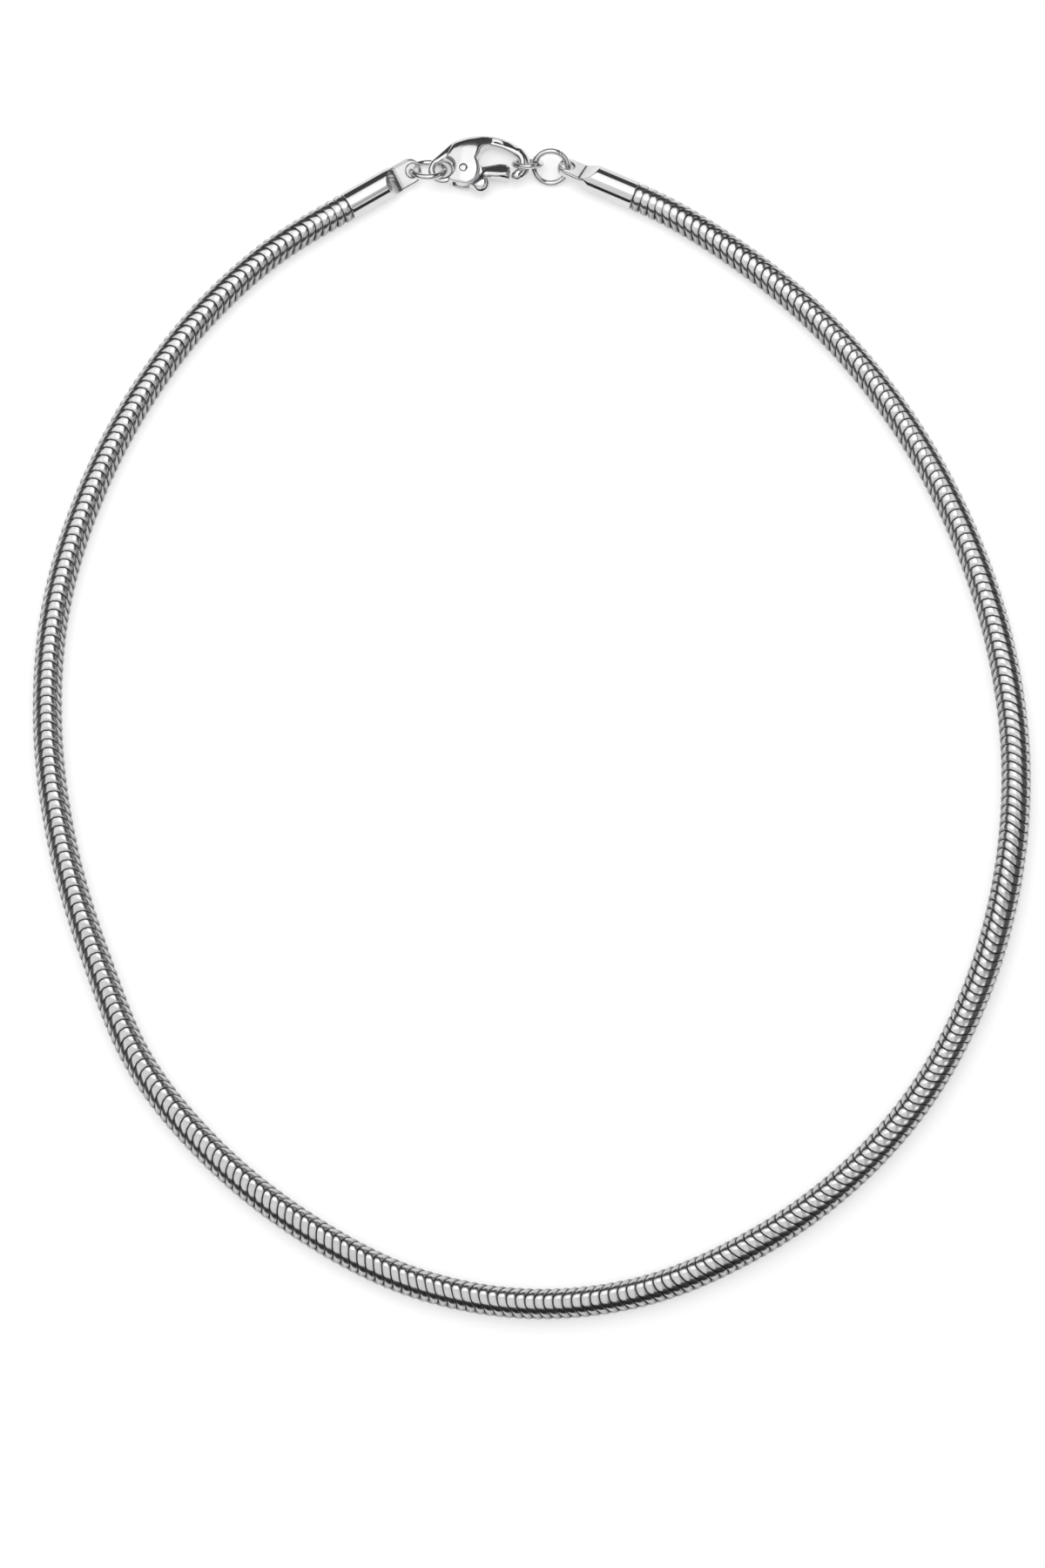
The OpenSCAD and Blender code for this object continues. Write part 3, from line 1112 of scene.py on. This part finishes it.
@dataclass
class LobsterClasp:
    """The clasp: a cast body with eye, cheeks, spine and hook, the lever in its slot, and the rivet.

    A pair that is named turn holds the first and the last angle of an arc, in degrees.
    """

    # The cheeks: how thick they are, the dome of each face, and the arcs of their outline
    body_t: float = 3.6
    dome_r: float = 15.0
    eye_turn: Point = (75.0, -60.0)
    keel_r: float = 8.5
    keel_at: Point = (-0.9, 5.0)
    keel_end: float = -75.0
    keel_steps: int = 12
    scallop_r: float = 2.3
    scallop_turn: Point = (-74.0, 38.0)
    throat_r: float = 1.25
    throat_turn: Point = (180.0, 97.0)
    past_throat: float = 0.3
    inner_share: float = 0.7
    # How far in the cheeks' rims are rounded, and the share of the height that is left at the rim
    cheek_round: float = 0.5
    cheek_rim: float = 0.72
    # Where the cheeks fade out along the spine, and how deep they end up inside it
    fade_from: float = -0.9
    fade_to: float = 4.4
    sunk: float = 0.9
    # How the cheeks fall to the spine's back: from where, over what length, by how much, and at least left
    brow: float = 0.55
    back_reach: float = 0.95
    back_fall: float = 0.65
    back_least: float = 0.3
    # Where the spine starts and its bar to the eye ends, and how their faces and the hook's lean or are boxy
    spine_from: float = 116.0
    shoulder: float = 128.0
    face_lean: float = 0.36
    crook_lean: float = 0.3
    shoulder_full: float = 0.6
    full_before: float = 0.4
    full_over: float = 2.0
    # The slot and the lever's root in it
    slot_t: float = 1.6
    slot_foot: float = -7.0
    slot_ease: float = 0.1
    root_r: float = 1.3
    root_turn: Point = (90.0, 215.0)
    root_foot: float = 2.0
    foot_turn: Point = (236.0, 288.0)
    front_turn: Point = (-68.0, 14.0)
    root_t: float = 1.4
    swing_gap: float = 0.15
    # The lever's arm and its thumb tab; the back's points are shares of the reach and angles
    arm_t: float = 2.2
    arm_start_r: float = 2.45
    start_turn: Point = (-64.0, 14.0)
    lever_reach: float = 6.51
    arm_back: tuple[Point, ...] = ((0.8, 12.0), (0.93, 9.0))
    tip_turn: Point = (4.0, -13.0)
    tab_r: float = 1.25
    tab_out: float = 3.1
    tab_at: float = -40.0
    tab_turn: Point = (50.0, -118.0)
    # The arm's rounding, and the crest that its faces fall from: height, place, direction, falls, least share
    arm_round: float = 0.8
    arm_rim: float = 0.35
    arm_rise: float = 1.15
    arm_crest: Point = (1.0, -2.2)
    arm_crest_turn: float = 17.0
    arm_falls: Point = (0.3, 0.32)
    arm_least: float = 0.45
    # The rivet: its gaps in the body and in the lever, and the steps in and up of its domed head
    rivet_r: float = 0.5
    rivet_gap: float = 0.02
    hinge_gap: float = 0.05
    rivet_dome: tuple[Point, ...] = ((0.08, 0.04), (0.12, 0.025), (0.14, 0.012))
    rivet_crease: float = 40.0
    voxel: float = 0.07
    strokes: int = 14
    finish: PolishedSteel = PolishedSteel("clasp_steel_polished", rough=(0.08, 0.15), dents_per_mm=0.5)

    def cheek_outline(self) -> list[Point]:
        """The cheeks' edge: along the spine, round the eye, along keel and scallop, and up the throat.

        Returns:
            The outline.
        """
        lay = LAYOUT
        edge_r = lay.spine_r + lay.hook_r / 2
        inner_r = lay.spine_r - lay.hook_r * self.inner_share
        brow_x = lay.pivot[0] + self.scallop_r
        throat = (brow_x + self.throat_r, lay.pivot[1] + self.scallop_r)
        inner_start = self.spine_angle(inner_r, throat[0] + self.past_throat)
        right = self.spine_angle(edge_r, self.fade_to)
        keel_end = offset(lay.pivot, polar(self.scallop_r, self.keel_end))
        start_x = lay.eye_at[0] + lay.eye_r / 2
        keel = []
        for i in range(self.keel_steps + 1):
            x = start_x + (keel_end[0] - start_x) * i / self.keel_steps
            keel.append((x, self.keel_at[1] - math.sqrt(self.keel_r ** 2 - (x - self.keel_at[0]) ** 2)))
        return [
            *arc(lay.spine_at, edge_r, right, self.spine_from, steps=16),
            *arc(lay.eye_at, lay.eye_r, *self.eye_turn, steps=12),
            *keel,
            *arc(lay.pivot, self.scallop_r, *self.scallop_turn, steps=32),
            *arc(throat, self.throat_r, *self.throat_turn, steps=10),
            *arc(lay.spine_at, inner_r, inner_start, right, steps=8),
        ]

    def spine_angle(self, radius: float, x: float) -> float:
        """Where a circle round the spine's middle passes a given X, in degrees."""
        return math.degrees(math.acos((x - LAYOUT.spine_at[0]) / radius))

    def cheek_slope(self, x: float, y: float) -> float:
        """The cheeks' height as a share: it fades out along the spine and falls to the spine's back.

        Args:
            x: A place's X in the clasp's layout.
            y: Its Y.

        Returns:
            The share.
        """
        along = held((x - self.fade_from) / (self.fade_to - self.fade_from))
        behind = max(0.0, distance((x, y), LAYOUT.spine_at) - LAYOUT.spine_r + self.brow)
        faded = along * along * (3 - 2 * along)
        fall = max(self.back_least, 1 - self.back_fall * (behind / self.back_reach) ** 2)
        return (1 - faded) * fall - self.sunk * faded

    def cheeks(self) -> Thing:
        """The two domed cheeks as one lens with the cheeks' outline.

        Returns:
            The lens.
        """
        plate = extruded_outline(self.cheek_outline(), 2 * self.body_t)
        for side in (-1, 1):
            lens = make(
                bpy.ops.mesh.primitive_uv_sphere_add, segments=128, ring_count=96, radius=self.dome_r,
                location=(*LAYOUT.dome_at, side * (self.dome_r - self.body_t / 2)),
            )
            drill(plate, apply_place(lens), keep=True)
        return plate

    def slot_cutter(self) -> Thing:
        """The tool that cuts the slot for the lever's root through keel and scallop.

        Returns:
            The tool.
        """
        left = LAYOUT.pivot[0] - self.root_r - self.swing_gap
        right = left + self.root_r + self.arm_start_r + 2 * self.swing_gap
        foot, top = self.slot_foot, LAYOUT.pivot[1] + self.root_r + self.swing_gap + self.slot_ease
        return extruded_outline([(left, foot), (right, foot), (right, top), (left, top)], self.slot_t)

    def pin(self, at: Point, half: float, gap: float = 0.0) -> Thing:
        """A bar along Z like the rivet, with that half length and that gap round it."""
        return round_bar((*at, -half), (*at, half), (self.rivet_r + gap,) * 2, sides=48)

    def place(self, obj: Thing) -> Thing:
        """Moves a part from the clasp's own layout to the necklace."""
        obj.location = (*LAYOUT.clasp_at, LAYOUT.axis_h)
        return apply_place(obj)

    def eye(self) -> Thing:
        """The eye's wire, slotted where the lever's root passes.

        Returns:
            The wire.
        """
        wire = make(
            bpy.ops.mesh.primitive_torus_add, major_radius=LAYOUT.eye_r, minor_radius=LAYOUT.eye_wire / 2,
            major_segments=96, minor_segments=32, location=(*LAYOUT.eye_at, 0),
        )
        return drill(apply_place(wire), self.slot_cutter())

    def shoulder_bar(self, start: Point) -> Thing:
        """The tapering bar from the spine's start to the eye's wire.

        Args:
            start: The spine's start.

        Returns:
            The bar.
        """
        lay = LAYOUT
        end = offset(lay.eye_at, polar(lay.eye_r, self.shoulder))
        bar = round_bar((*start, 0), (*end, 0), (lay.hook_r, lay.eye_wire / 2), sides=48)
        run = (Vector(end) - Vector(start)).normalized()
        back = Vector((run.y, -run.x))
        lean(
            bar, lay.hook_r, self.face_lean, lambda x, y: back.dot(Vector((x, y)) - Vector(start)),
            lambda x, y: self.shoulder_full,
        )
        return bar

    def build_body(self) -> None:
        """Casts the body in one piece."""
        lay = LAYOUT
        spine_start = offset(lay.spine_at, polar(lay.spine_r, self.spine_from))
        crook_start = offset(lay.spine_at, polar(lay.spine_r, lay.crook_from))
        eye = self.eye()
        cheeks = self.cheeks()
        cast_in_one(cheeks, self.voxel, 0)
        untouched = self.slot_t / 2 + self.slot_ease
        pillow(cheeks, self.cheek_outline(), self.cheek_round, self.cheek_rim, untouched, self.cheek_slope)
        drill(cheeks, self.slot_cutter(), self.pin(lay.pivot, self.body_t, self.rivet_gap))
        shoulder = self.shoulder_bar(spine_start)
        spine = bent_bar(lay.spine_at, lay.spine_r, lay.hook_r, lay.crook_from, self.spine_from, steps=64)
        lean(
            spine, lay.hook_r, self.face_lean, lambda x, y: distance((x, y), lay.spine_at) - lay.spine_r,
            lambda x, y: held((crook_start[0] - self.full_before - x) / self.full_over),
        )
        crook = bent_bar(lay.crook_at, lay.crook_r, lay.hook_r, lay.crook_to, lay.crook_from, steps=48)
        lean(crook, lay.hook_r, self.crook_lean, lambda x, y: distance((x, y), lay.crook_at) - lay.crook_r)
        corners = [ball((*at, 0), lay.hook_r) for at in (spine_start, crook_start, lay.nose_tip)]
        body = join(cheeks, eye, shoulder, spine, crook, *corners)
        cast_in_one(body, self.voxel, self.strokes)
        self.place(body)
        smooth_shade(body)
        hand_over(body, "clasp_cast_body", "clasp_body", self.finish.material())

    def root_outline(self) -> list[Point]:
        """The thin root that turns between the cheeks."""
        return [
            *arc((0.0, 0.0), self.root_r, *self.root_turn, steps=12),
            *arc((0.0, 0.0), self.root_foot, *self.foot_turn, steps=8),
            *arc((0.0, 0.0), self.arm_start_r + self.swing_gap, *self.front_turn, steps=20),
        ]

    def arm_outline(self) -> list[Point]:
        """The thicker arm in front of the cheeks, with the round thumb tab."""
        return [
            *arc((0.0, 0.0), self.arm_start_r, *self.start_turn, steps=20),
            *(polar(self.lever_reach * share, angle) for share, angle in self.arm_back),
            *arc((0.0, 0.0), self.lever_reach, *self.tip_turn, steps=8),
            *arc(polar(self.tab_out, self.tab_at), self.tab_r, *self.tab_turn, steps=14),
        ]

    def arm_slope(self, x: float, y: float) -> float:
        """The arm's height as a share of its full one: it falls to both sides of a crest along the arm.

        Args:
            x: A place's X from the pivot.
            y: Its Y.

        Returns:
            The share.
        """
        along = polar(1.0, self.arm_crest_turn)
        above = (y - self.arm_crest[1]) * along[0] - (x - self.arm_crest[0]) * along[1]
        fall = self.arm_falls[0] * above if above > 0 else -self.arm_falls[1] * above
        return max(self.arm_least, self.arm_rise - fall / (self.arm_t / 2))

    def build_lever(self) -> None:
        """Makes the lever with its tab, bored for the rivet."""
        bore = self.pin((0.0, 0.0), self.body_t, self.hinge_gap)
        root = drill(extruded_outline(self.root_outline(), self.root_t), bore)
        arm = extruded_outline(self.arm_outline(), self.arm_t)
        cast_in_one(arm, self.voxel, 0)
        pillow(arm, self.arm_outline(), self.arm_round, self.arm_rim, 0.0, self.arm_slope)
        lever = join(root, arm)
        cast_in_one(lever, self.voxel, self.strokes)
        lever.location = (*LAYOUT.pivot, 0)
        apply_place(lever)
        self.place(lever)
        smooth_shade(lever)
        hand_over(lever, "clasp_thumb_lever", "clasp_lever", self.finish.material(), Body.LEVER)

    def build_rivet(self) -> None:
        """Turns the rivet: its softly domed head ends level with the cheeks, and its foot is flat."""
        away = distance(LAYOUT.pivot, LAYOUT.dome_at)
        half = self.body_t / 2 - (self.dome_r - math.sqrt(self.dome_r ** 2 - away ** 2))
        rivet = self.pin(LAYOUT.pivot, half)
        rivet.location.z = -sum(rise for _, rise in self.rivet_dome)
        pick(apply_place(rivet), "FACE", lambda face: face.normal.z > FACING)
        for inset, rise in self.rivet_dome:
            bpy.ops.mesh.inset(thickness=inset)
            bpy.ops.transform.translate(value=(0, 0, rise))
        self.place(rivet)
        smooth_shade(rivet, self.rivet_crease)
        hand_over(rivet, "clasp_rivet_pin", "clasp_rivet", self.finish.material())

    def build(self) -> None:
        """Makes the three parts of the clasp."""
        self.build_body()
        self.build_lever()
        self.build_rivet()


@dataclass(frozen=True)
class Softbox:
    """A rectangular softbox, in metres, that hangs straight down or faces its aim.

    Its radiance is how bright its face is, and mirrored says whether polished metal shows it.
    """

    name: str
    at: Place
    size: Point
    radiance: float
    mirrored: bool = True
    aim: Place | None = None

    def hang(self) -> None:
        """Hangs the softbox where only the scene's surfaces see it."""
        light = make(bpy.ops.object.light_add, type="AREA", location=self.at)
        light.name = self.name
        light.data.shape = "RECTANGLE"
        light.data.size, light.data.size_y = self.size
        light.data.energy = self.radiance * math.pi * self.size[0] * self.size[1]
        if self.aim:
            light.rotation_euler = facing(self.at, self.aim)
        light.visible_glossy = self.mirrored
        light.visible_camera = False


@dataclass
class Studio:
    """The pale table, the soft light and the camera at the photograph's angle, in metres."""

    camera_at: Place = (-0.0012, -0.13116, 0.48515)
    looks_at: Place = (-0.0012, -0.0102, 0.0)
    lens: float = 86.0
    sensor: float = 36.0
    near: float = 0.01
    table_side: float = 8.0
    # The room's brightness in front, where the camera stands, at the sides and at the back
    room_front: float = 0.01
    room_side: float = 0.12
    room_back: float = 0.06
    softboxes: tuple[Softbox, ...] = (
        Softbox("ceiling_back", (0.01, 0.163, 0.168), (0.1, 0.086), 1.35),
        Softbox("ceiling_middle", (0.01, 0.075, 0.168), (0.1, 0.09), 1.7),
        Softbox("ceiling_back_left", (-0.09, 0.118, 0.168), (0.1, 0.176), 1.15),
        Softbox("ceiling_front", (-0.04, -0.0975, 0.168), (0.2, 0.255), 0.86),
        Softbox("ceiling_left", (-0.19, -0.01, 0.168), (0.1, 0.43), 0.9),
        Softbox("ceiling_right", (0.13, -0.065, 0.168), (0.14, 0.19), 0.5),
        Softbox("card_right", (0.083, 0.07, 0.06), (0.04, 0.14), 0.9),
        Softbox("card_left_cap", (0.12, -0.075, 0.12), (0.05, 0.05), 0.8),
        Softbox("card_right_cap", (0.2, 0.64, 0.05), (0.12, 0.1), 1.1, aim=(0.012, 0.072, 0.002)),
        Softbox("fill", (0.0, 0.0, 2.5), (4.0, 4.0), 1.0, mirrored=False),
    )
    table: PaleTable = PaleTable()

    def camera(self) -> None:
        """Sets up the camera and makes it the scene's own."""
        camera = make(bpy.ops.object.camera_add, location=self.camera_at)
        camera.name = "photo_camera"
        camera.rotation_euler = facing(self.camera_at, self.looks_at)
        camera.data.lens = self.lens
        camera.data.sensor_width = self.sensor
        camera.data.clip_start = self.near
        bpy.context.scene.camera = camera

    def room(self) -> None:
        """The dim room: dark in front, where the camera stands, and paler at the sides and the back."""
        world = bpy.data.worlds.new("dim_room")
        desk = ShaderDesk(world)
        direction = desk.node("ShaderNodeTexCoord", {}, {}, "Generated")
        back = desk.node("ShaderNodeSeparateXYZ", {}, {"Vector": direction}, "Y")
        side, behind = self.room_side - self.room_front, self.room_back - self.room_side
        tone = self.room_front + side * (back + 1.0).clamped() + behind * back.clamped()
        glow = desk.node("ShaderNodeBackground", {}, {"Color": WHITE, "Strength": tone})
        desk.node("ShaderNodeOutputWorld", {}, {"Surface": glow})
        bpy.context.scene.world = world

    def build(self) -> None:
        """Makes the table, the dim room, the lights and the camera."""
        table = make(bpy.ops.mesh.primitive_plane_add, size=self.table_side, location=(0, 0, 0))
        table.name = "table"
        table.data.materials.append(self.table.material())
        self.room()
        for softbox in self.softboxes:
            softbox.hang()
        bpy.context.scene.view_settings.view_transform = "Standard"
        self.camera()
        LOG.info("studio: table, lights and camera")


def main() -> None:
    """Builds every sub-assembly in order."""
    logging.basicConfig(level=logging.INFO, format="%(name)s: %(message)s")
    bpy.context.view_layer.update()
    lay = LAYOUT
    parts = (
        SnakeChain(),
        EndCap("cap_left_pressed", "end_cap_left", lay.left_mouth, lay.left_heading, roll=40.0),
        EndCap("cap_right_pressed", "end_cap_right", lay.right_mouth, lay.right_heading, roll=32.0),
        JumpRing("ring_left_wire", "jump_ring_left", lay.left_ring_at, lean=-42.0, slit_at=150.0),
        JumpRing("ring_right_wire", "jump_ring_right", lay.right_ring_at, lean=42.0, slit_at=60.0),
        JumpRing(
            "ring_hook_wire", "hook_ring", lay.hook_ring_at, lean=-57.0, slit_at=100.0,
            radius=lay.hook_ring_r, wire=lay.hook_ring_wire,
        ),
        LobsterClasp(),
        Studio(),
    )
    for part in parts:
        part.build()
    put_down()


if __name__ == "__main__":
    main()
